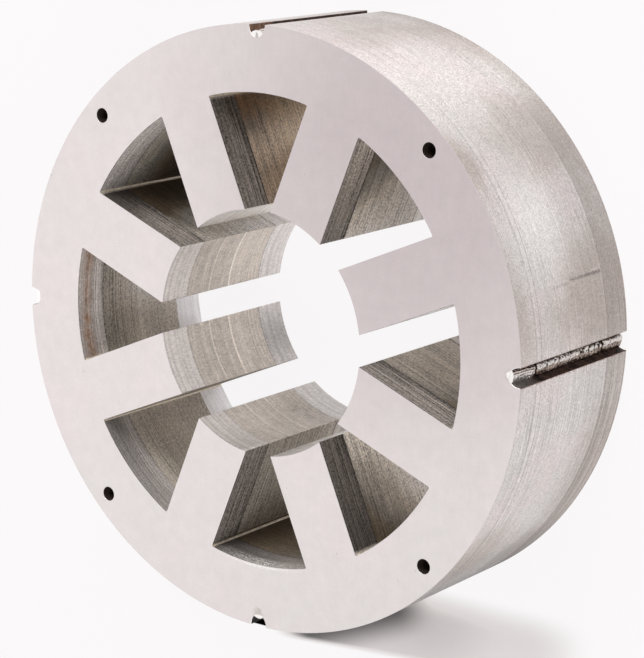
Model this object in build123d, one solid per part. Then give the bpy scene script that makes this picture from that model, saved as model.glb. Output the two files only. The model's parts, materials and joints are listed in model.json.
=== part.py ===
from build123d import *
from math import atan2, degrees
import os

# Stator core of a radial magnetic bearing: a stack of stamped steel laminations with eight poles,
# held together by four weld seams that run along grooves in its outside.
# It lies on its rear face: the axis is Z, the origin is the centre of the rear face, sizes are in mm.

# Stack
core_diameter = 150.0
bore_diameter = 61.0
lamination_thickness = 0.35
pack_laminations = (27, 17, 27, 4, 36, 27)  # laminations in each pack, front to rear

# Poles, with a slot between each two
pole_count = 8
pole_width = 16.1
yoke_width = 16.2  # from the outer end of a slot to the outside

# Weld grooves in the outside, and a small hole midway between each two
groove_count = 4
groove_lip_width = 4.7
groove_floor_width = 3.1
groove_depth = 3.15
groove_corner_cut = 1.0
hole_diameter = 3.7
hole_edge_distance = 5.15  # from the hole's centre to the outside

# Weld seams
bead_height = 1.85  # from the groove's floor to the crown
bead_crown_radius = 4.0
crown_sides = 12
ripple_count = 4
ripple_height = 0.25

core_radius = core_diameter / 2
bore_radius = bore_diameter / 2
slot_radius = core_radius - yoke_width
groove_floor_radius = core_radius - groove_depth
pole_pitch = 360 / pole_count
groove_pitch = 360 / groove_count
stack_height = lamination_thickness * sum(pack_laminations)


def poles():
    # Each blank runs from inside the bore to the middle of the yoke, and the bore trims its tip to an arc.
    inner = bore_radius - pole_width / 2
    outer = core_radius - yoke_width / 2
    blank = Rectangle(outer - inner, pole_width)
    return PolarLocations((inner + outer) / 2, pole_count, pole_pitch / 2) * blank


def groove_section():
    # A U with tapered sides and cut corners. Its sides carry on past the outside, by the groove's depth.
    half_floor = groove_floor_width / 2
    half_mouth = groove_lip_width - half_floor
    mouth_radius = core_radius + groove_depth
    outline = make_face(
        Polyline(
            (groove_floor_radius, -half_floor),
            (mouth_radius, -half_mouth),
            (mouth_radius, half_mouth),
            (groove_floor_radius, half_floor),
            close=True,
        )
    )
    floor_corners = outline.vertices().sort_by(Axis.X)[:2]
    return chamfer(floor_corners, groove_corner_cut)


def at_each_groove(shape):
    return [Rot(0, 0, index * groove_pitch) * shape for index in range(groove_count)]


def lamination_profile():
    yoke = Circle(core_radius) - Circle(slot_radius)
    hole_circle = core_radius - hole_edge_distance
    holes = PolarLocations(hole_circle, groove_count, groove_pitch / 2) * Circle(hole_diameter / 2)
    return yoke + poles() - Circle(bore_radius) - holes - at_each_groove(groove_section())


def lamination_packs():
    # The packs lie face to face, from the front pack at the top down to the rear pack.
    profile = lamination_profile()
    packs = {}
    top = stack_height
    for number, laminations in enumerate(pack_laminations, start=1):
        thickness = laminations * lamination_thickness
        top -= thickness
        packs[f"lamination_pack_{number}"] = Pos(0, 0, top) * extrude(profile, thickness)
    return packs


def bead_crown():
    # A many-sided bar that widens and steps back again at each ripple, like overlapping drops of metal.
    pitch = stack_height / ripple_count
    low_side = RegularPolygon(
        bead_crown_radius - ripple_height, crown_sides, major_radius=False, rotation=180 / crown_sides
    )
    ripple = extrude(low_side, pitch, taper=-degrees(atan2(ripple_height, pitch)))
    bar = Part() + [Pos(0, 0, index * pitch) * ripple for index in range(ripple_count)]
    return Pos(groove_floor_radius + bead_height - bead_crown_radius, 0, 0) * bar


def weld_seams():
    # A bead is what the crown and the groove have in common, so it fills its groove from wall to wall.
    bead = extrude(groove_section(), stack_height) & bead_crown()
    turned = at_each_groove(bead)
    return {f"weld_seam_{round(index * groove_pitch)}_deg": seam for index, seam in enumerate(turned)}


os.makedirs("parts", exist_ok=True)
for node, shape in {**lamination_packs(), **weld_seams()}.items():
    export_step(shape, f"parts/{node}.step")
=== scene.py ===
import json
import math
import random

import bmesh
import bpy
import numpy as np
from mathutils import Matrix, Vector, noise


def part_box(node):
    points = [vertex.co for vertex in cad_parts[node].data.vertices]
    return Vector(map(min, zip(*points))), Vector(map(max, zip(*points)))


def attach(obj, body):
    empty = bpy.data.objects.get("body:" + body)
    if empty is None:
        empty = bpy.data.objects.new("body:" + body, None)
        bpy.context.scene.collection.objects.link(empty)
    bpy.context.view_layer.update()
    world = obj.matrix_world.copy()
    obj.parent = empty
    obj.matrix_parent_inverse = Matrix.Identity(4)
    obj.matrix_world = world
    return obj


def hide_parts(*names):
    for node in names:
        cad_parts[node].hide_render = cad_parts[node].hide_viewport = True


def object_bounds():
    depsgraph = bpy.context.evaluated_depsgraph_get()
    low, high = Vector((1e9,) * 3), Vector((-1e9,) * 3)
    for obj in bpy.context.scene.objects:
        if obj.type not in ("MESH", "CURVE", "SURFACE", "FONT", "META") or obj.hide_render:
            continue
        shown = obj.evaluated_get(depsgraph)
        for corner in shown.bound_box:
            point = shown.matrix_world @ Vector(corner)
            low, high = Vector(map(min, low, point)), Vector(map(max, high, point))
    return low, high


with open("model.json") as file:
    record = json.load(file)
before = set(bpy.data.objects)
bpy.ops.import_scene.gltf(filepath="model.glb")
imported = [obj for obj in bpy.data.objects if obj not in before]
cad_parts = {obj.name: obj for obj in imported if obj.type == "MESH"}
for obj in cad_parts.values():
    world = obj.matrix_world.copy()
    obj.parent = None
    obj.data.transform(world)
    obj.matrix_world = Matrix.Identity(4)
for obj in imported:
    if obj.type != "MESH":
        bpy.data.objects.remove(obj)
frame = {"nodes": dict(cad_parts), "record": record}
cadBox = [list(corner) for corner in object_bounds()]
random.seed(31)
mm = 0.001

# sizes that the frame states
mounts = {mount["name"]: mount["dims"] for mount in frame["record"]["mounts"]}
outsideRadius = mounts["outside"]["r_mm"] * mm
boreRadius = mounts["rotor_bore"]["r_mm"] * mm
holeRadius = mounts["end_holes"]["hole_r_mm"] * mm
holeCircle = mounts["end_holes"]["pcd_mm"] * mm / 2
rear = cadBox[0][2]
front = cadBox[1][2]
stackHeight = front - rear

core = {
    "poles": 8,
    "poleWidth": 16.1 * mm,
    "slotRadius": 58.8 * mm,
    "grooves": 4,
    "grooveLip": 4.7 * mm,
    "grooveDepth": 3.15 * mm,
    "lamination": 0.35 * mm,
    "rootCorner": 0.5 * mm,  # how far the rounding of a slot's root corner reaches
    "tipCorner": 0.15 * mm,
    "lipCorner": 0.12 * mm,
}
polePitch = 360 / core["poles"]
groovePitch = 360 / core["grooves"]
halfLip = core["grooveLip"] / 2
# how far from the axis a groove's floor lies, and the line between its lips
grooveFloor = outsideRadius - core["grooveDepth"]
grooveMouth = math.sqrt(outsideRadius ** 2 - halfLip ** 2)
packNodes = sorted(name for name in frame["nodes"] if name.startswith("lamination_pack_"))
seamNodes = sorted(name for name in frame["nodes"] if name.startswith("weld_seam_"))


def linear(*levels):
    # a colour as a screen shows it, 0 to 255, as the linear colour that a shader takes
    parts = [level / 255 for level in levels]
    parts = [part / 12.92 if part <= 0.04045 else ((part + 0.055) / 1.055) ** 2.4 for part in parts]
    return (*parts, 1.0)


def between(share, first, second):
    return first + share * (second - first)


def swaying(*parts):
    # a shade about 1, with values from 0 to 1 and how much each one sways it
    return 1 + sum((value - 0.5) * amount for value, amount in parts)


# Shader maths

def wired(operation, swapped=False):
    # an operator that adds its Math node
    def operator(wire, other):
        values = (other, wire) if swapped else (wire, other)
        return wire.look.maths(operation, *values)
    return operator


class Wire:
    # a socket of a node tree, so that shader maths reads as a plain expression
    def __init__(self, look, socket):
        self.look = look
        self.socket = socket

    __add__ = __radd__ = wired("ADD")
    __mul__ = __rmul__ = wired("MULTIPLY")
    __sub__ = wired("SUBTRACT")
    __rsub__ = wired("SUBTRACT", swapped=True)
    __truediv__ = wired("DIVIDE")
    __pow__ = wired("POWER")

    def __neg__(self):
        return self * -1.0

    def __abs__(self):
        return self.look.maths("ABSOLUTE", self)

    def __floor__(self):
        return self.look.maths("FLOOR", self)


class Look:
    # a tree of nodes
    def __init__(self, tree):
        self.tree = tree
        self.tree.nodes.clear()

    def node(self, kind, settings=None, inputs=None, output=0):
        made = self.tree.nodes.new(kind)
        for name, value in (settings or {}).items():
            setattr(made, name, value)
        for name, value in (inputs or {}).items():
            if isinstance(value, Wire):
                self.tree.links.new(value.socket, made.inputs[name])
            else:
                made.inputs[name].default_value = value
        return Wire(self, made.outputs[output]) if made.outputs else made

    def maths(self, operation, *values):
        return self.node("ShaderNodeMath", {"operation": operation}, dict(enumerate(values)))

    def mix(self, share, first, second):
        return self.node("ShaderNodeMix", {"data_type": "RGBA"}, {0: share, 6: first, 7: second}, 2)

    def coats(self, tones, colour, *coats):
        # each coat states how well it covers, from 0 to 1, and its tone, by name or worked out
        colour = tones.get(colour, colour)
        for share, tone in coats:
            colour = self.mix(share, colour, tones.get(tone, tone))
        return colour

    def shaded(self, colour, shade):
        colour = colour if isinstance(colour, Wire) else colour[:3]
        return self.node("ShaderNodeVectorMath", {"operation": "SCALE"}, {"Vector": colour, "Scale": shade})


def rise(value, low, high):
    # 0 at low and below, 1 at high and above
    inputs = {"Value": value, "From Min": low, "From Max": high}
    return value.look.node("ShaderNodeMapRange", {"interpolation_type": "SMOOTHSTEP"}, inputs)


def fall(value, low, high):
    return 1 - rise(value, low, high)


def past(value, edge, soft=0.004):
    # 0 before an edge, 1 behind it
    return rise(value, edge, edge + soft)


def band(value, centre, reach):
    # 1 at the centre, 0 as far off as it reaches
    return fall(abs(value - centre), 0.0, reach)


def distance(x, y):
    return (x * x + y * y) ** 0.5


def striped(value, lines):
    # each line states its centre, how far it reaches and how far it lifts the tone
    return sum(band(value, centre, reach) * lift for centre, reach, lift in lines)


class Finish(Look):
    # one material, and where the point that it colours lies
    def __init__(self, name):
        self.material = bpy.data.materials.new(name)
        self.material.use_nodes = True
        super().__init__(self.material.node_tree)
        self.point = self.shaded(self.node("ShaderNodeTexCoord", output="Object"), 1 / mm)
        self.x, self.y, self.z = [
            self.node("ShaderNodeSeparateXYZ", inputs={"Vector": self.point}, output=axis) for axis in "XYZ"
        ]
        self.radius = distance(self.x, self.y)
        self.angle = self.maths("ARCTAN2", self.y, self.x) * math.degrees(1)  # from +X towards +Y
        self.depth = (front / mm - self.z) / (stackHeight / mm)  # from the front, as a share of the stack
        # along and beside the middle line of the nearest groove
        self.along = self.maths("MAXIMUM", abs(self.x), abs(self.y))
        self.beside = self.maths("MINIMUM", abs(self.x), abs(self.y))

    def joined(self, x, y, z=0.0):
        return self.node("ShaderNodeCombineXYZ", inputs={"X": x, "Y": y, "Z": z})

    def noise(self, scale, detail=3.0, roughness=0.6, at=None):
        inputs = {"Vector": at or self.point, "Scale": scale, "Detail": detail, "Roughness": roughness}
        return self.node("ShaderNodeTexNoise", inputs=inputs, output="Fac")

    def grit(self, scale, at=None):
        # fine grain with clear light and dark
        return rise(self.noise(scale, 2.0, at=at), 0.32, 0.68)

    def attribute(self, name):
        return self.node("ShaderNodeAttribute", {"attribute_name": name}, output="Fac")

    def sheetTone(self, reach, seed):
        # every lamination has its own tone, which drifts along it over that reach, in millimetres
        sheet = math.floor(self.z * mm / core["lamination"])
        own = self.node("ShaderNodeTexWhiteNoise", {"noise_dimensions": "1D"}, {"W": sheet + seed}, "Value")
        at = self.joined(self.x / reach, self.y / reach, sheet * 7.31 + seed)
        return own, self.noise(1.0, 2.0, at=at)

    def towards(self, degrees):
        # 1 where the point lies that way from the axis, -1 where it lies the other way
        turn = math.radians(degrees)
        return (self.x * math.cos(turn) + self.y * math.sin(turn)) / self.radius

    def spot(self, place, reach, wander, soft=0.6):
        # 1 about a place on the end face, fading out at that reach
        away = distance(self.x - place[0], self.y - place[1]) + wander
        return fall(away, reach * soft, reach)

    def atGroove(self, side):
        # 1 in the groove at 90 degrees for side 1, and in the one at 270 degrees for side -1
        return rise(self.y * side, 60.0, 66.0)

    def bump(self, relief, tall, strength=0.6):
        inputs = {"Height": relief, "Distance": tall, "Strength": strength}
        return self.node("ShaderNodeBump", inputs=inputs)

    def steel(self, colour, shade, metallic, roughness, more=None):
        inputs = {"Base Color": self.shaded(colour, shade), "Metallic": metallic, "Roughness": roughness}
        shader = self.node("ShaderNodeBsdfPrincipled", inputs=inputs | (more or {}))
        self.node("ShaderNodeOutputMaterial", inputs={"Surface": shader})
        return self.material


# Finishes

faceLook = {
    "tone": linear(214, 205, 205),
    "cool": linear(210, 204, 202),
    "dullAndShaded": linear(188, 177, 178),
    "paintedShadeAt": (44, 46),  # painted shade: the face is darker about this place, in millimetres
    "paintedShadeReach": 88.0,
    "halo": linear(238, 232, 230),
    "haloRim": linear(186, 180, 168),
    "haloAt": (72.1, 0.35),  # beside the root of the groove at 0 degrees
    "scorch": linear(150, 140, 122),
    "scorchAt": (-0.2, -71.7),  # beside the root of the groove at 270 degrees
    "speck": linear(150, 140, 132),
    "roughness": 0.46,
}


def faceFinish():
    look = Finish("groundEndFace")
    clouds = look.noise(0.035, roughness=0.55)
    grain = look.noise(1.0, at=look.joined(look.x * 2.6, look.y * 0.16, look.z))
    grit = look.grit(2.4)
    mottle = look.noise(0.32)
    shade = swaying((grain, 0.08), (grit, 0.035), (mottle, 0.14), (clouds, 0.08))
    # painted shade: the end face is painted darker about one place, fading out over a wide reach
    dullAndShaded = look.spot(faceLook["paintedShadeAt"], faceLook["paintedShadeReach"], (clouds - 0.5) * 18, 0.17)
    speck = rise(look.noise(0.6, 1.0, 0.5), 0.81, 0.83)
    wander = (look.noise(1.6, 2.0) - 0.5) * 0.9
    # burrs along the arc of the slot at 270 degrees
    burr = band(look.radius, core["slotRadius"] / mm + 0.35, 0.75) * band(look.angle, -90, 17)
    burr = burr * rise(look.noise(3.0, 2.0, 0.7), 0.42, 0.58)
    colour = look.coats(
        faceLook, "tone",
        (rise(clouds, 0.35, 0.65), "cool"),
        (dullAndShaded * 0.92, "dullAndShaded"),
        (speck * 0.5, "speck"),
        (look.spot(faceLook["haloAt"], 1.75, wander) * 0.45, "haloRim"),
        (look.spot(faceLook["haloAt"], 1.1, wander) * 0.8, "halo"),
        (burr, "halo"),
        (look.spot(faceLook["scorchAt"], 1.7, wander * 3.0) * 0.4, "scorch"),
    )
    bump = look.bump(grain + mottle * 0.5, 0.004 * mm)
    rough = faceLook["roughness"] + (grain - 0.5) * 0.12
    return look.steel(colour, shade, 0.85, rough, {"Normal": bump})


outsideLook = {
    "tone": linear(213, 208, 205),
    "blushAndHighlight": linear(224, 210, 209),
    "stain": linear(182, 170, 162),
    "rearTone": linear(172, 162, 156),
    "heat": linear(150, 108, 88),
    "paintedHighlight": linear(244, 241, 238),
    "paintedHighlightAt": (23, 0.34),  # painted highlight, a brighter patch: degrees round the axis, and depth
    "roughness": 0.42,
    # depth from the front as a share of the stack, half width and lift
    "lines": (
        (0.144, 0.006, -0.22), (0.188, 0.006, -0.22), (0.16, 0.006, 0.08), (0.212, 0.006, 0.08),
        (0.318, 0.006, 0.1), (0.35, 0.014, -0.05), (0.512, 0.004, -0.12), (0.524, 0.006, 0.16),
        (0.64, 0.006, 0.08), (0.655, 0.005, -0.12), (0.795, 0.007, 0.08), (0.806, 0.005, -0.2),
    ),
    # darker patches, partly real stains and partly painted shade: degrees round the axis and depth, how far
    # each reaches both ways, strength
    "stains": (
        (42, 0.72, 11, 0.5, 0.55), (11, 0.78, 14, 0.5, 0.75), (10, 0.0, 14, 0.14, 0.55),
        (38, 0.0, 7, 0.14, 0.5), (-39, 0.12, 9, 0.45, 0.6), (-28, 0.92, 24, 0.3, 0.5),
        (70, 0.9, 12, 0.25, 0.4), (82, 0.55, 9, 0.35, 0.4), (74, 0.45, 6, 0.6, 0.35),
        (40, 0.02, 7, 0.12, 0.4), (8, 0.3, 7, 0.6, 0.25), (-44, 0.7, 8, 0.25, 0.5),
    ),
    "rearBand": 0.805,
    "paintedShadeStretch": (-57, 25),  # painted shade, the floor's shadow as the outside reflects it: the darker stretch, its middle and how far it reaches, in degrees
    # scratches across the laminations: degrees, half width, from and to which depth, lift
    "scratches": (
        (14.2, 0.46, 0.5, 0.79, -0.42), (13.7, 0.36, 0.34, 0.49, -0.18), (14.9, 0.3, 0.7, 0.79, 0.2),
    ),
}


def outsideFinish():
    look = Finish("turnedOutside")
    depth, angle = look.depth, look.angle
    own, drift = look.sheetTone(7.0, 3)
    streaky = rise(look.noise(1.0, 2.0, 0.5, look.joined(angle * 0.05, depth * 3.0)), 0.42, 0.62)
    streaky = streaky + band(angle, -9, 12) * 0.8
    grit = look.grit(2.5)
    speckle = look.grit(1.0, look.joined(angle, look.z * 2.6))
    blotch = look.noise(0.5)
    shade = swaying(
        (own, 0.05 + streaky * 0.14), (drift, 0.14 + streaky * 0.34),
        (grit, 0.32), (speckle, 0.12), (blotch, 0.24),
    )
    # painted shade: a darker stretch round the outside, where it reflects the floor's shadow
    shade = shade - band(angle, *outsideLook["paintedShadeStretch"]) * 0.55 - rise(depth, 0.45, 0.8) * 0.07
    high = rise(angle, 38, 58)  # the lines and the rear band fade out there
    shade = shade + striped(depth, outsideLook["lines"]) * (1 - high * 0.8)
    blushAndHighlight = rise(look.noise(0.055, 2.0, 0.5), 0.46, 0.62)
    # a random pink blush, and a painted highlight: a paler pink tint near 68 degrees at the front
    blushAndHighlight = blushAndHighlight * 0.35 + band(angle, 68, 16) * fall(depth, 0.3, 0.6) * 0.4
    colour = look.mix(blushAndHighlight, outsideLook["tone"], outsideLook["blushAndHighlight"])
    ragged = (look.noise(0.12) - 0.5) * 0.9
    # darker patches round the outside, partly stains and partly painted shade
    for middle, deep, wide, tall, share in outsideLook["stains"]:
        away = distance((angle - middle) / wide, (depth - deep) / tall) + ragged
        colour = look.mix(fall(away, 0.35, 1.15) * share, colour, outsideLook["stain"])
    # painted highlight: a brighter patch on the outside
    paintedHighlight = band(angle + (ragged - 0.5) * 6, outsideLook["paintedHighlightAt"][0], 13)
    paintedHighlight = paintedHighlight * band(depth + ragged * 0.1, outsideLook["paintedHighlightAt"][1], 0.34)
    rearBand = past(depth, outsideLook["rearBand"])
    rearShare = rearBand * (1 - high) + rise(depth, 0.8, 1.0) * high
    heat = fall(look.beside + (grit - 0.5) * 0.3, halfLip / mm + 0.1, halfLip / mm + 0.5)
    colour = look.coats(
        outsideLook, colour,
        (paintedHighlight * 0.7, "paintedHighlight"),
        (rearShare * (0.05 + blotch), "rearTone"),
        (heat * (0.2 + rise(-look.y, -1.0, 1.0) * 0.4), "heat"),
    )
    shade = shade + (own - 0.5) * rearBand * band(angle, -30, 45) * 0.35
    for middle, reach, start, end, lift in outsideLook["scratches"]:
        run = past(depth, start, 0.02) * (1 - past(depth, end, 0.01))
        shade = shade + band(angle + (grit - 0.5) * 0.2, middle, reach) * run * lift
    rough = outsideLook["roughness"] + (grit - 0.5) * 0.1 + rearBand * 0.05
    bump = look.bump(grit + speckle * 0.5, 0.004 * mm)
    brushed = {"Anisotropic": 0.8, "Anisotropic Rotation": 0.25, "Normal": bump}
    return look.steel(colour, shade, 0.85, rough, brushed)


slotLook = {
    # tints, which a wall's own lightness scales
    "bare": (1.12, 1.0, 0.86, 1.0),
    "oiled": (1.45, 1.0, 0.55, 1.0),
    "lit": (1.07, 1.0, 0.94, 1.0),
    "frontTint": (1.15, 1.0, 0.9, 1.0),
    "arcTint": (1.1, 1.0, 0.96, 1.0),
    "burr": linear(236, 231, 226),
    "rear": linear(250, 247, 247),
    "rim": linear(246, 241, 236),
    "rust": linear(160, 118, 84),
    "gold": linear(200, 176, 130),
    "roughness": 0.52,
    # depth from the front as a share of the stack, half width and lift
    "lines": (
        (0.095, 0.007, -0.12), (0.12, 0.005, -0.1), (0.145, 0.006, -0.1), (0.165, 0.006, -0.1),
        (0.185, 0.006, -0.12), (0.197, 0.006, -0.45), (0.35, 0.006, -0.15), (0.47, 0.005, -0.15),
    ),
    # the same, further in on a slot's sides, and in the slot at 180 degrees
    "linesInwards": (
        (0.385, 0.012, 0.18), (0.62, 0.009, -0.25), (0.665, 0.006, -0.15), (0.797, 0.007, -0.55),
        (0.835, 0.02, 0.18), (0.895, 0.007, -0.35), (0.925, 0.012, 0.15),
    ),
    "lines180": (
        (0.155, 0.03, 0.15), (0.3, 0.006, -0.25), (0.345, 0.006, -0.2), (0.43, 0.006, -0.2),
        (0.495, 0.03, 0.25), (0.56, 0.008, 0.2), (0.64, 0.01, -0.15), (0.72, 0.012, 0.15),
    ),
    "frontBand": 0.196,
    "rearBand": 0.804,
    "rustStreak": 0.068,  # depth from the front, in the slot at 180 degrees
}
# how light each slot's walls are, as painted light and shade over their own tone: its sides at the front
# near the arc and near the bore, its sides deeper near the arc and further in, and its arc at the front,
# deeper, and deeper still
# then how much the depth counts on the sides, and how sharply the arc's front band ends
slotToneAndShade = {
    0: (0.285, 0.224, 0.12, 0.58, 0.413, 0.418, 0.515, 1.0, 0.5),
    45: (0.47, 0.27, 0.12, 0.82, 0.413, 0.418, 0.515, 0.7, 0.5),
    90: (0.135, 0.235, 0.12, 0.49, 0.413, 0.418, 0.515, 1.0, 0.5),
    135: (0.055, 0.31, 0.065, 0.94, 0.78, 0.065, 0.06, 0.25, 0.0),
    180: (0.266, 0.266, 0.418, 0.418, 0.84, 0.5, 0.88, 1.0, 1.0),
    225: (0.266, 0.266, 0.418, 0.418, 0.34, 0.47, 0.6, 1.0, 1.0),
    270: (0.242, 0.262, 0.4, 0.42, 0.165, 0.085, 0.085, 1.0, 0.5),
    315: (0.08, 0.139, 0.095, 0.65, 0.413, 0.418, 0.515, 1.0, 0.5),
}


def slotZones(look):
    # the value of each column of the table of painted light and shade, in the slot that the point lies in
    low, high = (math.cos(math.radians(polePitch / 2 + soft)) for soft in (0.1, -0.1))
    zones = list(slotToneAndShade[0])
    for angle, levels in list(slotToneAndShade.items())[1:]:
        here = rise(look.towards(angle), low, high)
        zones = [zone + here * (level - usual) for zone, level, usual in zip(zones, levels, slotToneAndShade[0])]
    return zones


def slotWall():
    # where on a slot's wall the point lies
    look = Finish("stampedSlotWall")
    arcRadius = core["slotRadius"] / mm
    look.onArc = rise(look.radius, arcRadius - 1.2, arcRadius - 0.6)
    look.inwards = (arcRadius - look.radius) / (arcRadius - boreRadius / mm)
    look.deep = past(look.depth, slotLook["frontBand"])
    look.rearBand = past(look.depth, slotLook["rearBand"])
    look.near180 = rise(abs(look.angle), 158, 166)
    look.rusty = band(look.angle, 90, 30) * look.deep
    look.rim = band(look.angle, 12, 12)  # painted reflection: the underside of the pole at 22.5 degrees shows as a pale line
    look.stains = look.noise(0.12)
    look.own, look.drift = look.sheetTone(6.0, 11)
    return look


def slotToneAndShading(look):
    # painted light and shade: each wall is lighter or darker by how much light reaches it, over its own
    # tone
    depth, angle, deep, inwards = look.depth, look.angle, look.deep, look.inwards
    sideOut, sideIn, deepOut, deepIn, arcFront, arcMiddle, arcRear, depthCounts, sharpness = slotZones(look)
    further = rise(depth * depthCounts + inwards * 0.65 + (look.stains - 0.5) * 0.3, 0.3, 0.9)
    sideFront = between(rise(inwards, 0.1, 0.8), sideOut, sideIn)
    side = between(deep, sideFront, between(further, deepOut, deepIn))
    arcDeep = between(rise(depth, 0.25, 0.6), arcMiddle, arcRear)
    crisp = deep * 0.8 + rise(depth, slotLook["frontBand"], 0.45) * 0.2
    fade = between(sharpness, rise(depth, 0.04, 0.55), crisp)
    # an arc's front grows darker towards the slot at 180 degrees
    arcFront = arcFront * (1 - rise(abs(angle), 118, 152) * 0.35)
    # painted light: it grows lighter inwards in the slot at 225 degrees, and towards one side in the slot
    # at 270 degrees
    arcFront = arcFront * (1 + band(angle, -148, 34) * rise(depth, 0.07, 0.2) * 1.1)
    in270 = rise(angle, -112, -111) * fall(angle, -69, -68)
    arcFront = arcFront * (1 + in270 * (rise(angle, -106, -74) * 2.1 - 0.45))
    light = between(look.onArc, side, between(fade, arcFront, arcDeep))
    # painted light and shade: lighter and darker stretches in the slots at 90, 180, 270 and 315 degrees
    at90 = band(inwards, 0.42, 0.32) * 1.85 - band(inwards, 0.85, 0.3) * 0.25
    at180 = 0.08 - rise(-look.y, -3.0, 8.0) * 0.3
    at270 = band(angle, -90, 30) * rise(inwards, 0.6, 0.8) * rise(depth, 0.42, 0.85) * 0.6
    at315 = band(angle, -45, 30) * rise(depth, 0.4, 0.9) * 0.9
    return light * (1 + look.rusty * at90) * (1 + look.near180 * at180) * (1 + at270 + at315)


def slotColour(look):
    depth, deep, rusty = look.depth, look.deep, look.rusty
    light = slotToneAndShading(look)
    # the darker a wall is, the browner
    tint = look.coats(
        slotLook, "oiled",
        (rise(light, 0.0, 0.25) * (1 - rusty * 0.25), "bare"),
        (rise(light, 0.45, 0.9) * (1 - rusty), "lit"),
        ((1 - deep) * 0.85, look.mix(look.onArc, slotLook["frontTint"], slotLook["arcTint"])),
    )
    # rust deep in the slot at 90 degrees, and as a streak near the front of the one at 180 degrees
    rust = rise(look.stains + (look.drift - 0.5) * 0.5, 0.36, 0.58)
    rust = rust * (0.8 - rise(look.inwards, 0.1, 0.4) * 0.45)
    gold = rise(depth + (look.drift - 0.5) * 0.3, 0.34, 0.56) * 0.4
    spotty = rise(look.noise(0.5, roughness=0.7) + (look.drift - 0.5) * 0.4, 0.4, 0.66)
    streak = band(depth + (look.stains - 0.5) * 0.05, slotLook["rustStreak"], 0.065) * look.near180
    # burrs along the front edge of the arc in the slot at 270 degrees
    burr = band(look.angle, -90, 17) * look.onArc * fall(depth, 0.05, 0.11)
    return look.coats(
        slotLook, look.shaded(tint, light),
        # painted reflection: the pale line under the pole at 22.5 degrees
        (look.rim * 0.9, "rim"),
        # the rear pack's paler tone, raised near white as painted light
        (look.rearBand * (0.35 + look.onArc * 0.65), "rear"),
        (rusty * rust, "rust"),
        (rusty * gold, "gold"),
        (streak * (0.35 + spotty * 0.5), "rust"),
        (burr * rise(look.noise(2.2, 2.0, 0.7), 0.42, 0.56), "burr"),
    )


def slotShade(look, grit):
    depth, deep, onArc = look.depth, look.deep, look.onArc
    lined = look.grit(1.0, look.joined((look.x + look.y) * 1.1, (look.x - look.y) * 1.1, look.z * 3.0))
    ridges = look.grit(1.0, look.joined(look.x * 0.06, look.y * 0.06, look.z * 1.5))
    strength = (0.55 + (1 - onArc) * (0.55 - deep * 0.45)) * (1 - look.rearBand * 0.75)
    crisp = (0.3 + rise(depth, 0.06, 0.13) * 0.7) * (1 - deep * 0.65) * (1 - look.rearBand * 0.5)
    shade = swaying(
        (look.own, between(onArc, 0.65 - deep * 0.3, 0.16)), (look.drift, 0.25),
        (look.stains, 0.4 + look.rusty * 0.7), (grit, strength * (0.7 + deep * 0.3)),
        (lined, strength * (0.4 - deep * 0.15)), (ridges, (0.75 - onArc * 0.55) * crisp),
    )
    shade = shade - look.near180 * (deep - rise(depth, 0.22, 0.36)) * 0.3
    shade = shade + striped(depth, slotLook["lines"]) + striped(depth, slotLook["lines180"]) * look.near180
    return shade + striped(depth, slotLook["linesInwards"]) * rise(look.inwards, 0.5, 0.62)


def slotFinish():
    look = slotWall()
    grit = look.grit(1.9)
    metal = 0.5 + look.rearBand * look.onArc * 0.4
    rough = slotLook["roughness"] + (grit - 0.5) * 0.2 - look.rim * 0.4
    bump = look.bump(grit + look.own * 0.6, 0.02 * mm, 0.7)
    return look.steel(slotColour(look), slotShade(look, grit), metal, rough, {"Normal": bump})


rootLook = {"tone": linear(226, 215, 198), "roughness": 0.36}


def rootFinish():
    # the radius in a slot's root corner, which catches the light: a painted highlight
    look = Finish("slotRootRadius")
    own, drift = look.sheetTone(4.0, 17)
    shade = 0.7 + own * 0.3 + drift * 0.3
    return look.steel(rootLook["tone"], shade, 0.8, rootLook["roughness"] + own * 0.1)


poleLook = {
    "front": linear(214, 207, 203),
    "middle": linear(196, 187, 178),
    "rear": linear(210, 205, 202),
    "paintedReflection": linear(252, 249, 246),
    "paintedLightFrom": 150,  # painted light: poles facing this way are lighter, in degrees round the axis
    "roughness": 0.42,
    "frontEdge": (0.194, 0.199),  # from and to which depth the front band ends
    "rearEdge": (0.8, 0.806),
    # depth from the front as a share of the stack, half width and lift
    "lines": (
        (0.197, 0.006, -0.4), (0.315, 0.005, 0.2), (0.38, 0.006, 0.3), (0.395, 0.005, -0.12),
        (0.532, 0.005, -0.15), (0.545, 0.009, 0.55), (0.7, 0.006, -0.12), (0.76, 0.006, -0.12),
        (0.804, 0.007, -0.5), (0.84, 0.012, 0.1), (0.88, 0.006, -0.14), (0.93, 0.006, -0.1),
    ),
}


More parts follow.
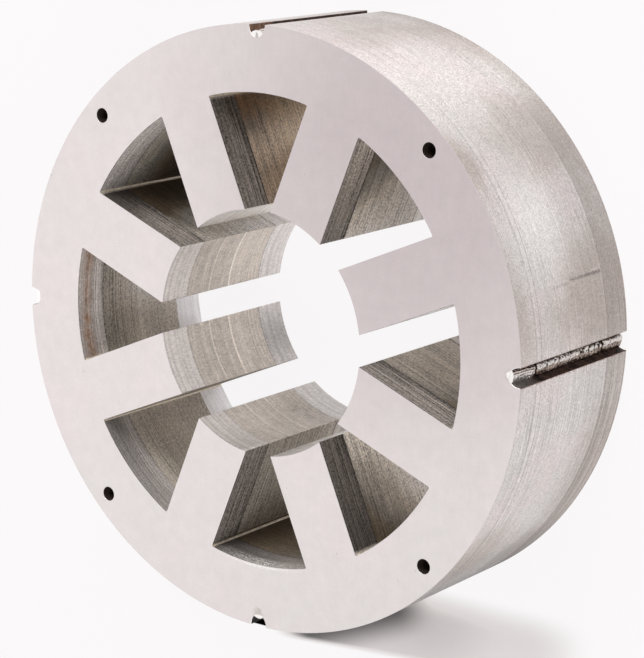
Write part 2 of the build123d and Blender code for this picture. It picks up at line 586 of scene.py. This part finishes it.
def poleFinish():
    look = Finish("boredPoleFace")
    depth, angle = look.depth, look.angle
    own, drift = look.sheetTone(5.0, 23)
    grit = look.grit(2.4)
    blotch = look.noise(0.35)
    behindFront = rise(depth, *poleLook["frontEdge"])
    rearBand = rise(depth, *poleLook["rearEdge"])
    middle = behindFront * (1 - rearBand)
    deeper = rise(depth, 0.35, 0.65) * middle
    at247 = band(angle, -112, 24)  # this pole is darker deep inside and has fewer lines
    hatch = look.grit(1.0, look.joined(angle * 1.5, look.z * 0.5))
    shade = swaying(
        (own, 0.22), (drift, 0.3), (hatch, 0.2),
        (grit, 0.22 + middle * 0.12), (blotch, 0.15 + middle * 0.3),
    )
    shade = shade + rise(depth, 0.53, 0.56) * middle * 0.06
    shade = shade + at247 * (middle * 0.14 - deeper * 0.32) + band(angle, 157, 24) * deeper * 0.1
    shade = shade + striped(depth, poleLook["lines"]) * (0.4 + drift) * (1 - at247 * 0.6)
    # painted light: the poles towards 150 degrees are lighter, those away from it darker
    shade = shade * (0.94 + look.towards(poleLook["paintedLightFrom"]) * 0.25)
    shade = shade * (1 - rearBand * (band(angle, -157, 22) * 0.35 - 0.05))
    colour = look.coats(
        poleLook, "front",
        (behindFront, "middle"),
        (rearBand, "rear"),
        # painted reflection: the bore faces of the poles at 292.5 and 112.5 degrees are painted near white,
        # as they reflect at a grazing angle
        (band(angle, -67.5, 24) * 0.9 + band(angle, 112.5, 24) * 0.6, "paintedReflection"),
    )
    rough = poleLook["roughness"] + (grit - 0.5) * 0.15
    bump = look.bump(grit + own * 0.4, 0.008 * mm)
    return look.steel(colour, shade, 0.8, rough, {"Normal": bump})


grooveLook = {
    "front": linear(92, 86, 82),
    "brown": linear(128, 99, 82),  # at the front of the groove at 90 degrees
    "scorched": linear(74, 52, 42),
    "black": linear(26, 18, 15),
    "bare": linear(140, 122, 110),
    "mark": 0.185,  # depth of a dark mark, as a share of the stack
    "roughness": 0.55,
}


def grooveFinish():
    look = Finish("scorchedGrooveWall")
    depth = look.depth
    own, drift = look.sheetTone(3.0, 37)
    soot = look.noise(0.55, roughness=0.65)
    grit = look.grit(1.9)
    scorched = look.mix(rise(soot, 0.38, 0.58), grooveLook["black"], grooveLook["scorched"])
    scorched = look.mix(rise(soot, 0.62, 0.78) * 0.5, scorched, grooveLook["bare"])
    brown = look.mix(rise(soot, 0.46, 0.6) * 0.7, grooveLook["brown"], grooveLook["scorched"])
    mark = band(depth - look.beside * 0.012 + (soot - 0.5) * 0.03, grooveLook["mark"], 0.024)
    colour = look.coats(
        grooveLook, "front",
        (look.atGroove(1), brown),
        (rise(depth + (soot - 0.5) * 0.1, 0.13, 0.21), scorched),
        # painted shadow: the front of the groove at 270 degrees is painted black
        (look.atGroove(-1) * fall(depth, 0.1, 0.3), "black"),
        (mark * 0.9, "black"),
    )
    shade = 0.3 + own * 0.35 + drift * 0.3 + grit * 0.9
    return look.steel(colour, shade, 0.6, grooveLook["roughness"] + (soot - 0.5) * 0.2)


# painted shade: a hole's wall is painted dark brown, as shade inside the hole
holeLook = {"tone": linear(58, 46, 40), "roughness": 0.6}


def holeFinish():
    look = Finish("punchedHoleWall")
    own, drift = look.sheetTone(3.0, 41)
    shade = 0.6 + own * 0.35 + drift * 0.35
    return look.steel(holeLook["tone"], shade, 0.5, holeLook["roughness"] + own * 0.1)


edgeLook = {"tone": linear(222, 218, 216), "roughness": 0.42}


def edgeFinish():
    look = Finish("brokenEdge")
    wear = look.noise(0.7)
    return look.steel(edgeLook["tone"], 0.8 + wear * 0.35, 0.85, edgeLook["roughness"] + wear * 0.1)


weldLook = {
    "bright": linear(216, 211, 207),
    "brown": linear(84, 62, 52),
    "dullAndShaded": linear(182, 166, 155),
    "dim": linear(104, 86, 76),
    "pit": linear(40, 30, 25),
    "straw": linear(196, 168, 140),
    "roughness": 0.34,
    "streaks": 0.155,  # up to this depth the bead lies low and has streaks along it
    "streakDim": linear(186, 178, 173),
    "streakBright": linear(232, 225, 221),
    # those streaks: place beside the bead's middle and half width in millimetres, and tone
    "stripes": (
        (1.0, 0.55, (46, 33, 28)), (0.45, 0.24, (116, 88, 78)), (0.22, 0.1, (206, 196, 190)),
        (-0.08, 0.22, (116, 98, 90)), (-0.38, 0.11, (234, 230, 228)),
    ),
}


def weldFinish():
    look = Finish("weldBead")
    depth = look.depth
    relief = look.attribute("relief")  # 0 in a pit, 1 on top of a drop
    flank = look.attribute("flank")  # 0 on the crown, 1 at the groove's walls
    beside = look.attribute("beside")  # millimetres from the bead's middle
    clouds = look.noise(0.55)
    grit = look.grit(1.5)
    wander = (clouds - 0.5) * 0.5 + (grit - 0.5) * 0.25
    streaked = look.mix(grit, weldLook["streakDim"], weldLook["streakBright"])
    for place, reach, tone in weldLook["stripes"]:
        stripe = rise(band(beside + wander * 0.15, place, reach), 0.2, 0.6)
        streaked = look.mix(stripe, streaked, linear(*tone))
    low = 1 - past(depth + (clouds - 0.5) * 0.04, weldLook["streaks"], 0.03)
    sunk = rise(flank + (grit - 0.5) * 0.2, 0.8, 0.96) * rise(depth, 0.004, 0.012)
    colour = look.coats(
        weldLook, "brown",
        (rise(relief + (grit - 0.5) * 0.35, 0.05, 0.4), "bright"),
        (rise(clouds, 0.54, 0.7) * 0.5, "straw"),
        # the metal beside the drops is duller, partly as painted shade on the bead's shaded side
        (rise(abs(beside) + wander, 0.6, 0.8), look.mix(grit, weldLook["dim"], weldLook["dullAndShaded"])),
        (fall(relief + (grit - 0.5) * 0.2, -0.05, 0.1), "pit"),
        (rise(abs(beside) + wander * 0.5, 1.75, 2.05), "brown"),
        (low, streaked),
        # painted shadow: near black where the bead meets the groove's walls
        (sunk, "pit"),
        (fall(depth, 0.002, 0.006), "bright"),
    )
    return look.steel(colour, 0.85 + grit * 0.3, 0.85, weldLook["roughness"] + (grit - 0.5) * 0.2)


weldEndLook = {
    "tone": linear(229, 226, 224),
    "notch": linear(176, 169, 167),
    "notchAt": 72.25,  # distance from the core's axis
    "rootAt": (71.85, 72.15),  # from and to where the dimmer root ends
    "halfWidth": (1.45, 1.75),  # at the groove at 90 degrees, where the end is narrower
    "roughness": 0.36,
}


def weldEndFinish():
    # the end of a bead, ground level with the end face, in two lobes
    look = Finish("groundWeldEnd")
    along, beside = look.along, look.beside
    wander = (look.noise(2.0, 2.0) - 0.5) * 0.6
    away = distance(beside, (along - weldEndLook["notchAt"]) * 0.45) + wander * 0.4
    notch = fall(away, 0.28, 0.5) * look.atGroove(1)
    root = fall(along + wander * 0.4, *weldEndLook["rootAt"])
    root = root * fall(beside, 0.6, 0.9)
    besideEnd = rise(beside + wander * 0.5, *weldEndLook["halfWidth"])
    colour = look.coats(
        weldEndLook, "tone",
        (notch * 0.85, "notch"),
        (root * 0.7, "notch"),
        (besideEnd * look.atGroove(1), faceLook["tone"]),
    )
    return look.steel(colour, 1.0, 0.85, weldEndLook["roughness"] + notch * 0.2)


finishes = {
    "endFace": faceFinish(),
    "outside": outsideFinish(),
    "slot": slotFinish(),
    "root": rootFinish(),
    "pole": poleFinish(),
    "groove": grooveFinish(),
    "hole": holeFinish(),
    "edge": edgeFinish(),
}
weldMetal = weldFinish()
weldEnd = weldEndFinish()
print("finishes made")


# Lamination outline

def polar(radius, degrees):
    angle = math.radians(degrees)
    return Vector((radius * math.cos(angle), radius * math.sin(angle)))


def arc(radius, start, end, steps, kind, corner=0):
    # the first point may be a corner to round, and the last one belongs to what comes next
    points = [polar(radius, start + (end - start) * step / steps) for step in range(steps)]
    return [(point, kind, 0 if step else corner) for step, point in enumerate(points)]


def eased(loop, steps=4):
    # rounds each corner that states how far its rounding reaches
    done = []
    for index, (corner, kind, reach) in enumerate(loop):
        if not reach:
            done.append((corner, kind))
            continue
        before = loop[index - 1][0] - corner
        after = loop[(index + 1) % len(loop)][0] - corner
        start = corner + before.normalized() * reach
        end = corner + after.normalized() * reach
        for step in range(steps + 1):
            t = step / steps
            rounded = "root" if reach == core["rootCorner"] and step < steps else kind
            done.append((start * (1 - t) ** 2 + corner * 2 * t * (1 - t) + end * t * t, rounded))
    return done


def outsideLoop():
    # once round the outside, with a rounded U for each groove
    lipAngle = math.degrees(math.asin(halfLip / outsideRadius))
    steps = 14
    loop = []
    for index in range(core["grooves"]):
        turn = Matrix.Rotation(math.radians(index * groovePitch), 2)
        for step in range(steps):
            swing = math.pi * (step / steps - 0.5)
            along = grooveMouth - (grooveMouth - grooveFloor) * math.cos(swing)
            point = Vector((along, halfLip * math.sin(swing)))
            loop.append((turn @ point, "groove", 0 if step else core["lipCorner"]))
        start = index * groovePitch + lipAngle
        end = start + groovePitch - 2 * lipAngle
        loop += arc(outsideRadius, start, end, 44, "outside", core["lipCorner"])
    return eased(loop, 2)


def insideLoop():
    # once round the slots and the pole tips
    halfPole = core["poleWidth"] / 2
    rootAngle = math.degrees(math.asin(halfPole / core["slotRadius"]))
    tipAngle = math.degrees(math.asin(halfPole / boreRadius))
    loop = []
    for index in range(core["poles"]):
        middle = (index + 0.5) * polePitch
        start, end = middle - polePitch + rootAngle, middle - rootAngle
        loop += arc(core["slotRadius"], start, end, 14, "slot", core["rootCorner"])
        loop.append((polar(core["slotRadius"], end), "slot", core["rootCorner"]))
        loop += arc(boreRadius, middle - tipAngle, middle + tipAngle, 9, "pole", core["tipCorner"])
        loop.append((polar(boreRadius, middle + tipAngle), "slot", core["tipCorner"]))
    return backwards(eased(loop))


def holeLoop(index):
    middle = polar(holeCircle, (index + 0.5) * groovePitch)
    return backwards([(middle + point, kind) for point, kind, _ in arc(holeRadius, 0, 360, 22, "hole")])


def backwards(loop):
    # an opening's outline runs clockwise, and each kind stays with its own side
    points = [point for point, _ in reversed(loop)]
    kinds = [kind for _, kind in reversed(loop)]
    return list(zip(points, kinds[1:] + kinds[:1]))


kindOrder = list(finishes)
# how far a V between two laminations goes in, how far one may stand back, the width of the broken edge,
# and how far the V between two packs goes in, all in millimetres
play = {
    "outside": (0.014, 0.003, 0.03, 0.016),
    "groove": (0.03, 0.02, 0.14, 0.06),
    "slot": (0.035, 0.03, 0.04, 0.06),
    "root": (0.03, 0.02, 0.04, 0.06),
    "pole": (0.016, 0.005, 0.03, 0.02),
    "hole": (0.03, 0.02, 0.06, 0.06),
}


class Outline:
    # every loop of the lamination as arrays
    def __init__(self, loops):
        self.points = np.array([point for loop in loops for point, _ in loop])
        self.kinds = [kind for loop in loops for _, kind in loop]
        turned = [start + (np.arange(len(loop)) + 1) % len(loop) for loop, start in self.starts(loops)]
        self.after = np.concatenate(turned)
        along = self.points[self.after] - self.points
        self.lengths = np.linalg.norm(along, axis=1)
        side = np.stack([along[:, 1], -along[:, 0]], 1) / self.lengths[:, None]
        before = np.argsort(self.after)
        facing = side + side[before]
        self.out = facing / np.linalg.norm(facing, axis=1)[:, None]
        self.sharp = (side * side[before]).sum(1) < math.cos(math.radians(28))
        depths = np.array([play[kind] for kind in self.kinds]) * mm
        self.vee, self.slack, self.edge, self.seam = np.minimum(depths, depths[before]).T
        self.inner = np.array([kind in ("slot", "root", "pole") for kind in self.kinds], float)
        self.triangles = self.filled(loops)

    def starts(self, loops):
        start = 0
        for loop in loops:
            yield loop, start
            start += len(loop)

    def filled(self, loops):
        # the triangles of an end face, which look up
        sheet = bmesh.new()
        for loop, start in self.starts(loops):
            corners = [sheet.verts.new((*point, 0)) for point, _ in loop]
            for first, second in zip(corners, corners[1:] + corners[:1]):
                sheet.edges.new((first, second))
        sheet.verts.index_update()
        bmesh.ops.triangle_fill(sheet, edges=sheet.edges[:], use_beauty=True, normal=(0, 0, 1))
        found = np.array([[corner.index for corner in face.verts] for face in sheet.faces])
        sheet.free()
        a, b, c = (self.points[found[:, corner]] for corner in range(3))
        area = (b - a)[:, 0] * (c - a)[:, 1] - (b - a)[:, 1] * (c - a)[:, 0]
        found[area < 0] = found[area < 0][:, ::-1]
        return found


outline = Outline([outsideLoop(), insideLoop()] + [holeLoop(index) for index in range(core["grooves"])])
print("outline of", len(outline.points), "points and", len(outline.triangles), "triangles")


# Lamination packs

stack = {
    "edgeHeight": 0.07 * mm,  # of the broken edge on the front and rear faces
    "seamHeight": 0.06 * mm,  # of half the V between two packs
    "veeWidth": 0.045 * mm,
    "shift": 0.012 * mm,  # how far a lamination may lie off centre
    # the unrolled map: the squares of an end face that shows and of one that doesn't, the room between two
    # rows of walls, and the shortest row beside the squares
    "faceSquare": 2.01 * outsideRadius,
    "hiddenSquare": 12 * mm,
    "rowGap": 0.4 * mm,
    "shortestRow": 5 * mm,
}


def packRings(low, high, rearShows, frontShows):
    # heights from the bottom up, each with how far every point of the outline is set back
    brokenEdge = (stack["edgeHeight"], outline.edge)
    packSeam = (stack["seamHeight"], outline.seam)
    lowest = brokenEdge if rearShows else packSeam
    highest = brokenEdge if frontShows else packSeam
    count = round((high - low) / core["lamination"])
    rings = []
    for number in range(count):
        bottom = low + (high - low) * number / count
        top = low + (high - low) * (number + 1) / count
        lean = random.uniform(0, 2 * math.pi)
        push = np.array((math.cos(lean), math.sin(lean))) * stack["shift"] * random.random()
        offset = (outline.inner * (outline.out @ push)).clip(None, 0)
        setBack = outline.slack * random.random() - offset
        foot, back = (stack["veeWidth"], outline.vee + setBack) if number else lowest
        head = stack["veeWidth"] if number < count - 1 else highest[0]
        rings += [(bottom, back), (bottom + foot, setBack), (top - head, setBack)]
    return rings + [(top, highest[1])]


def columnPlaces(height, wide, sides):
    # where each side of the outline starts on the unrolled map, row by row beside and above the end faces
    reserved = sum(sides)
    u = reserved
    v = 0.0
    places = []
    for length in outline.lengths:
        if u + length > wide:
            v += height + stack["rowGap"]
            u = reserved if v < max(sides) else 0.0
        places.append((u, v))
        u += length
    return np.array(places), v + height + stack["rowGap"]


def newMesh(name, corners, faces, materials):
    mesh = bpy.data.meshes.new(name)
    mesh.from_pydata(corners, [], faces)
    mesh.polygons.foreach_set("use_smooth", np.ones(len(mesh.polygons), bool))
    for material in materials:
        mesh.materials.append(material)
    return mesh


def linked(name, data):
    thing = bpy.data.objects.new(name, data)
    bpy.context.scene.collection.objects.link(thing)
    return thing


def packFaces(rings):
    # the wall of each outline side between two rings, then the front face and the rear face
    count = len(outline.points)
    own = np.arange(count)
    wall = np.column_stack([own, outline.after, outline.after + count, own + count])
    walls = np.concatenate([wall + ring * count for ring in range(len(rings) - 1)])
    topFace = outline.triangles + (len(rings) - 1) * count
    rearFace = outline.triangles[:, ::-1]
    return walls.tolist() + topFace.tolist() + rearFace.tolist()


def colourPack(mesh, rings, rearShows, frontShows):
    count = len(outline.points)
    kinds = np.tile([kindOrder.index(kind) for kind in outline.kinds], len(rings) - 1)
    if frontShows:
        kinds[-count:] = kindOrder.index("edge")
    if rearShows:
        kinds[:count] = kindOrder.index("edge")
    flatKinds = np.full(2 * len(outline.triangles), kindOrder.index("endFace"))
    mesh.polygons.foreach_set("material_index", np.concatenate([kinds, flatKinds]).astype(np.int32))


def creasePack(mesh):
    # creases along the laminations and at the outline's corners, smooth round its curves
    count = len(outline.points)
    ends = np.empty(len(mesh.edges) * 2, np.int32)
    mesh.edges.foreach_get("vertices", ends)
    ends = ends.reshape(-1, 2)
    upright = np.abs(ends[:, 0] - ends[:, 1]) == count
    mesh.edges.foreach_set("use_edge_sharp", ~upright | outline.sharp[ends[:, 0] % count])


def unrollPack(mesh, rings, rearShows, frontShows):
    # the map: walls in rows, the end faces beside them, small where no light reaches them
    low, high = rings[0][0], rings[-1][0]
    sides = [stack["faceSquare"] if shows else stack["hiddenSquare"] for shows in (frontShows, rearShows)]
    wide = sum(sides) + stack["shortestRow"]
    while columnPlaces(high - low, wide, sides)[1] > wide:
        wide *= 1.01
    places, tall = columnPlaces(high - low, wide, sides)
    left, right = places[:, 0], places[:, 0] + outline.lengths
    uvs = []
    for below, above in zip(rings, rings[1:]):
        bottom, top = places[:, 1] + below[0] - low, places[:, 1] + above[0] - low
        uvs.append(np.stack([left, bottom, right, bottom, right, top, left, top], 1).reshape(-1, 2))
    start = 0.0
    for side, triangles in zip(sides, (outline.triangles, outline.triangles[:, ::-1])):
        flat = (outline.points[triangles].reshape(-1, 2) / stack["faceSquare"] + 0.5) * side
        uvs.append(flat + np.array([start, 0.0]))
        start += side
    uvs = np.concatenate(uvs) / np.array([wide, max(tall, max(sides))])
    mesh.uv_layers.new(name="OFBake").data.foreach_set("uv", uvs.ravel())


def makePack(node):
    low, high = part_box(node)
    rearShows = low.z - rear < core["lamination"]
    frontShows = front - high.z < core["lamination"]
    rings = packRings(low.z, high.z, rearShows, frontShows)
    corners = []
    for height, setBack in rings:
        flat = outline.points - outline.out * setBack[:, None]
        corners += np.column_stack([flat, np.full(len(flat), height)]).tolist()
    mesh = newMesh(node + "_dressed", corners, packFaces(rings), finishes.values())
    colourPack(mesh, rings, rearShows, frontShows)
    creasePack(mesh)
    unrollPack(mesh, rings, rearShows, frontShows)
    mesh.validate()

    piece = linked(node + "_dressed", mesh)
    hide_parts(node)
    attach(piece, "root")
    print(node, len(mesh.polygons), "faces")


for node in packNodes:
    makePack(node)


# Weld seams

seam = {
    "crown": 73.7 * mm,  # the crown's distance from the core's axis
    "crownRadius": 2.7 * mm,
    "halfWidth": 1.97 * mm,
    "thinnest": 0.25 * mm,
    "bite": 0.05 * mm,  # how far a bead's sides sink into the groove's walls
    "sunk": 0.02 * mm,  # and its underside into the groove's floor
    "across": 40,  # steps over the crown and under the bead, and rings along it
    "below": 10,
    "rings": 480,
    "dropPitch": 2.6 * mm,  # from one frozen drop of metal to the next
    "dropHeight": 0.34 * mm,
    "dropReach": 0.8 * mm,  # how far the drops reach beside the bead's middle
    "middle": (0.7 * mm, 0, 0, 0),  # where each bead's middle lies in its groove
    "lumps": 0.3 * mm,
    "pits": 0.5 * mm,
    # how far each seam sinks towards its front end, and over what length, in the order of the grooves
    "sink": (0.6 * mm, 0.1 * mm, 0.25 * mm, 0.8 * mm),
    "sinkLength": (8.0 * mm, 2.0 * mm, 3.0 * mm, 9.0 * mm),
    "gaps": ((0.185, 0.01), (0.81, 0.016)),  # depth from the front, half width
}


def beadHeight(y, z, index):
    # how far the bead's top lies above or below an even crown, and its relief from 0 to 1
    seed = index + 1
    depth = (front - z) / stackHeight
    at = Vector((y / mm, z / mm, seed * 17.3))
    drift = noise.noise(Vector((z / mm * 0.22, seed * 5.1, 0))) * 1.1
    turn = (z + 0.2 * y * y / mm) / seam["dropPitch"] + drift
    drop = abs(math.sin(math.pi * turn)) ** 0.7  # a row of domes with gaps between them
    lump = noise.noise(Vector((at.x * 0.6, at.y * 0.35, at.z))) + 0.5 * noise.noise(at * 1.2)
    pit = max(0.0, noise.noise(at * 1.5 + Vector((9, 3, 5))) - 0.3) / 0.5
    for middle, reach in seam["gaps"]:
        pit += max(0.0, 1 - abs(depth - middle + 0.01 * lump) / reach) * (0.9 if index == 0 else 0.3)
    beside = (y - seam["middle"][index]) / seam["dropReach"]
    crest = max(0.0, 1 - beside * beside)
    lift = (drop * crest - 0.4) * seam["dropHeight"] + lump * seam["lumps"] - pit * seam["pits"]
    sink = max(0.0, 1 - (front - z) / seam["sinkLength"][index])
    lift = lift * (1 - 0.8 * sink) - seam["sink"][index] * min(1.0, 2.2 * sink)
    relief = 0.75 * drop + 0.5 * lump - 1.2 * pit
    return lift, min(1.0, max(-0.3, relief))


def withinGroove(x, y):
    # keeps a point of a bead between the groove's walls, sunk into them by a hair
    level = min(1.0, max(0.0, (grooveMouth - x) / (grooveMouth - grooveFloor)))
    most = halfLip * math.sqrt(1 - level * level) + seam["bite"]
    return math.copysign(min(abs(y), most), y)


def makeSeam(node, index):
    low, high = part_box(node)
    centre = seam["crown"] - seam["crownRadius"]
    points = []  # place, relief, how near the groove's wall, and millimetres beside the bead's middle
    for ring in range(seam["rings"] + 1):
        z = low.z + (high.z - low.z) * ring / seam["rings"]
        for step in range(seam["across"] + 1):
            y = seam["halfWidth"] * (2 * step / seam["across"] - 1)
            lift, relief = beadHeight(y, z, index)
            edge = abs(y) / seam["halfWidth"]
            if lift > 0:
                lift *= 1 - edge ** 4
            crown = centre + math.sqrt(seam["crownRadius"] ** 2 - y * y)
            x = max(crown + lift, grooveFloor + seam["thinnest"])
            beside = (y - seam["middle"][index]) / mm
            points.append(((x, withinGroove(x, y), z), relief, edge, beside))
        side = x
        for step in range(1, seam["below"]):
            swing = math.pi * step / seam["below"]
            y = seam["halfWidth"] * math.cos(swing)
            x = side - (side - grooveFloor + seam["sunk"]) * math.sin(swing)
            points.append(((x, withinGroove(x, y), z), 0.3, 1.0, y / mm))
    places, reliefs, flanks, besides = zip(*points)
    turn = Matrix.Rotation(math.radians(index * groovePitch), 3, "Z")
    corners = [turn @ Vector(place) for place in places]
    count = seam["across"] + seam["below"]
    faces = []
    for ring in range(seam["rings"]):
        near, far = ring * count, (ring + 1) * count
        for step in range(count):
            after = (step + 1) % count
            faces.append((near + step, near + after, far + after, far + step))
    faces.append(tuple(range(count))[::-1])
    faces.append(tuple(range(seam["rings"] * count, (seam["rings"] + 1) * count)))
    mesh = newMesh(node + "_dressed", corners, faces, (weldMetal, weldEnd))
    for face in mesh.polygons[-2:]:
        face.use_smooth = False
        face.material_index = 1
    for name, values in {"relief": reliefs, "flank": flanks, "beside": besides}.items():
        mesh.attributes.new(name, "FLOAT", "POINT").data.foreach_set("value", values)
    mesh.validate()
    piece = linked(node + "_dressed", mesh)
    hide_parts(node)
    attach(piece, "root")
    print(node, len(mesh.polygons), "faces")


for node in seamNodes:
    makeSeam(node, round(float(node.split("_")[2]) / groovePitch))


# Floor, light and camera

studio = {
    "floorSize": 3.0,
    "floorTone": linear(243, 238, 237),
    "white": linear(251, 249, 250),
    "share": 0.94,  # how far camera and gloss see plain white instead of the lit floor
    "farShare": 0.86,
    # the core's shadow painted on the floor, and its darker part: their strength, and where they fade, in
    # millimetres
    "shade": 0.3,
    "shadeEnd": (48, 70),
    "darker": 0.15,
    "darkerEnd": (16, 44),
    "shadeTop": (-83, -73),
    "shadeLow": (84, 104),
    "shadeLeft": (-33, -20),
    "shadeEdge": -95.9,  # its straight edge, and how steep that is
    "shadeSlope": 0.065,
    "shadeHigh": (-74, -66),
    # the painted shadow is darkest along a line beside the core, from this point and in this direction
    "contactAt": (-10, -92),
    "contactAlong": (0.915, 0.405),
    "contactReach": 9,
    "contactEnd": (20, 34),
    "contact": 0.8,
    # a painted shadow on the floor, which shows through the open side of the groove at 270 degrees
    "gapLeft": (-40.8, -40.2),
    "gapRight": (-34.9, -34.5),
    "gapSlope": 0.58,
    "gapTop": (-73.0, -72.6),
    "gapEdge": (-96.7, -96.4),
    "world": 0.65,
    "far": (150, 420),  # from and to which distance farShare takes over
}


def seenRays(look):
    # 1 for a ray that reaches the camera, a gloss or a lens
    kinds = ("Camera", "Glossy", "Transmission")
    return sum(look.node("ShaderNodeLightPath", output=f"Is {kind} Ray") for kind in kinds)


def floorShade(look):
    # how dark the floor is painted, from 0 to 1, as the core's shadow and as the shadow seen through the
    # gap
    x, y = look.x, look.y
    shade = fall(x, *studio["shadeEnd"]) * studio["shade"]
    shade = shade + fall(x, *studio["darkerEnd"]) * studio["darker"]
    shade = shade * fall(y, *studio["shadeTop"]) * (1 - rise(-y, *studio["shadeLow"]) * 0.35)
    offX = x - studio["contactAt"][0]
    offY = y - studio["contactAt"][1]
    alongX, alongY = studio["contactAlong"]
    off = rise(offX * alongY - offY * alongX, -1.0, studio["contactReach"] - 1.0)
    beyond = rise(offX * alongX + offY * alongY, *studio["contactEnd"])
    shade = 1 - (1 - shade) * (1 - (1 - off) * (1 - beyond) * studio["contact"])
    edge = y - x * studio["shadeSlope"] - studio["shadeEdge"]
    shade = shade * rise(edge, -1.0, 1.2) * rise(x, *studio["shadeLeft"])
    shade = shade * fall(y, *studio["shadeHigh"])
    gap = rise(x, *studio["gapLeft"]) * fall(x, *studio["gapRight"])
    gap = gap * rise(y, *studio["gapEdge"])
    gap = gap * fall(y - x * studio["gapSlope"], *studio["gapTop"])
    return shade + gap * (1 - shade)


def makeFloor():
    half = studio["floorSize"] / 2
    level = rear - 0.05 * mm
    corners = [(-half, -half, level), (half, -half, level), (half, half, level), (-half, half, level)]
    look = Finish("paleFloor")
    shade = floorShade(look)
    white = look.node("ShaderNodeEmission", inputs={"Color": studio["white"], "Strength": 1.0})
    clear = look.maths("MAXIMUM", 1 - shade * 2.5, 0.0)
    share = clear * clear * studio["share"]
    dim = look.maths("MINIMUM", (1 - shade) * 1.42, 1.0)
    matt = look.node("ShaderNodeBsdfDiffuse", inputs={"Color": look.shaded(studio["floorTone"], dim)})
    share = seenRays(look) * between(rise(look.radius, *studio["far"]), share, studio["farShare"])
    shader = look.node("ShaderNodeMixShader", inputs={0: share, 1: matt, 2: white})
    look.node("ShaderNodeOutputMaterial", inputs={"Surface": shader})
    floor = linked("floor", newMesh("floor", corners, [(0, 1, 2, 3)], [look.material]))


def makeWorld():
    world = bpy.data.worlds.new("studio")
    world.use_nodes = True
    bpy.context.scene.world = world
    look = Look(world.node_tree)
    strength = studio["world"] + seenRays(look) * (1 - studio["world"])
    light = look.node("ShaderNodeBackground", inputs={"Color": (1, 1, 1, 1), "Strength": strength})
    look.node("ShaderNodeOutputWorld", inputs={"Surface": light})


lamps = {
    "keyLamp": {"place": (0.08, 0.746, 0.55), "size": (0.3, 0.5), "power": 5.0},
    "lowLamp": {"place": (0.38, -0.36, 0.72), "size": (0.35, 0.35), "power": 1.6},
    "sideLamp": {"place": (-0.66, -0.2, 0.6), "size": (0.5, 0.5), "power": 0.35},
}


def makeLamp(name, place, size, power):
    lamp = bpy.data.lights.new(name, "AREA")
    lamp.shape = "RECTANGLE"
    lamp.size = size[0]
    lamp.size_y = size[1]
    lamp.energy = power
    holder = linked(name, lamp)
    holder.location = place
    holder.rotation_mode = "QUATERNION"
    holder.rotation_quaternion = (Vector((0, 0, stackHeight)) - Vector(place)).to_track_quat("-Z", "Y")


view = {
    "place": (0.342087, 0.1256, 0.484157),
    "lookAt": (0.019462, 0.003893, 0.0483),
    "up": (-0.13304, 0.97572, -0.17398),  # what is up in the photograph
    "lens": 127.795,
}


def makeCamera():
    data = bpy.data.cameras.new("camera")
    data.lens = view["lens"]
    camera = linked("camera", data)
    back = (Vector(view["place"]) - Vector(view["lookAt"])).normalized()
    right = Vector(view["up"]).cross(back).normalized()
    camera.rotation_mode = "QUATERNION"
    camera.rotation_quaternion = Matrix((right, back.cross(right), back)).transposed().to_quaternion()
    camera.location = view["place"]
    bpy.context.scene.camera = camera


makeFloor()
makeWorld()
for name, lamp in lamps.items():
    makeLamp(name, **lamp)
makeCamera()
bpy.context.scene.view_settings.view_transform = "Standard"
print("studio set")
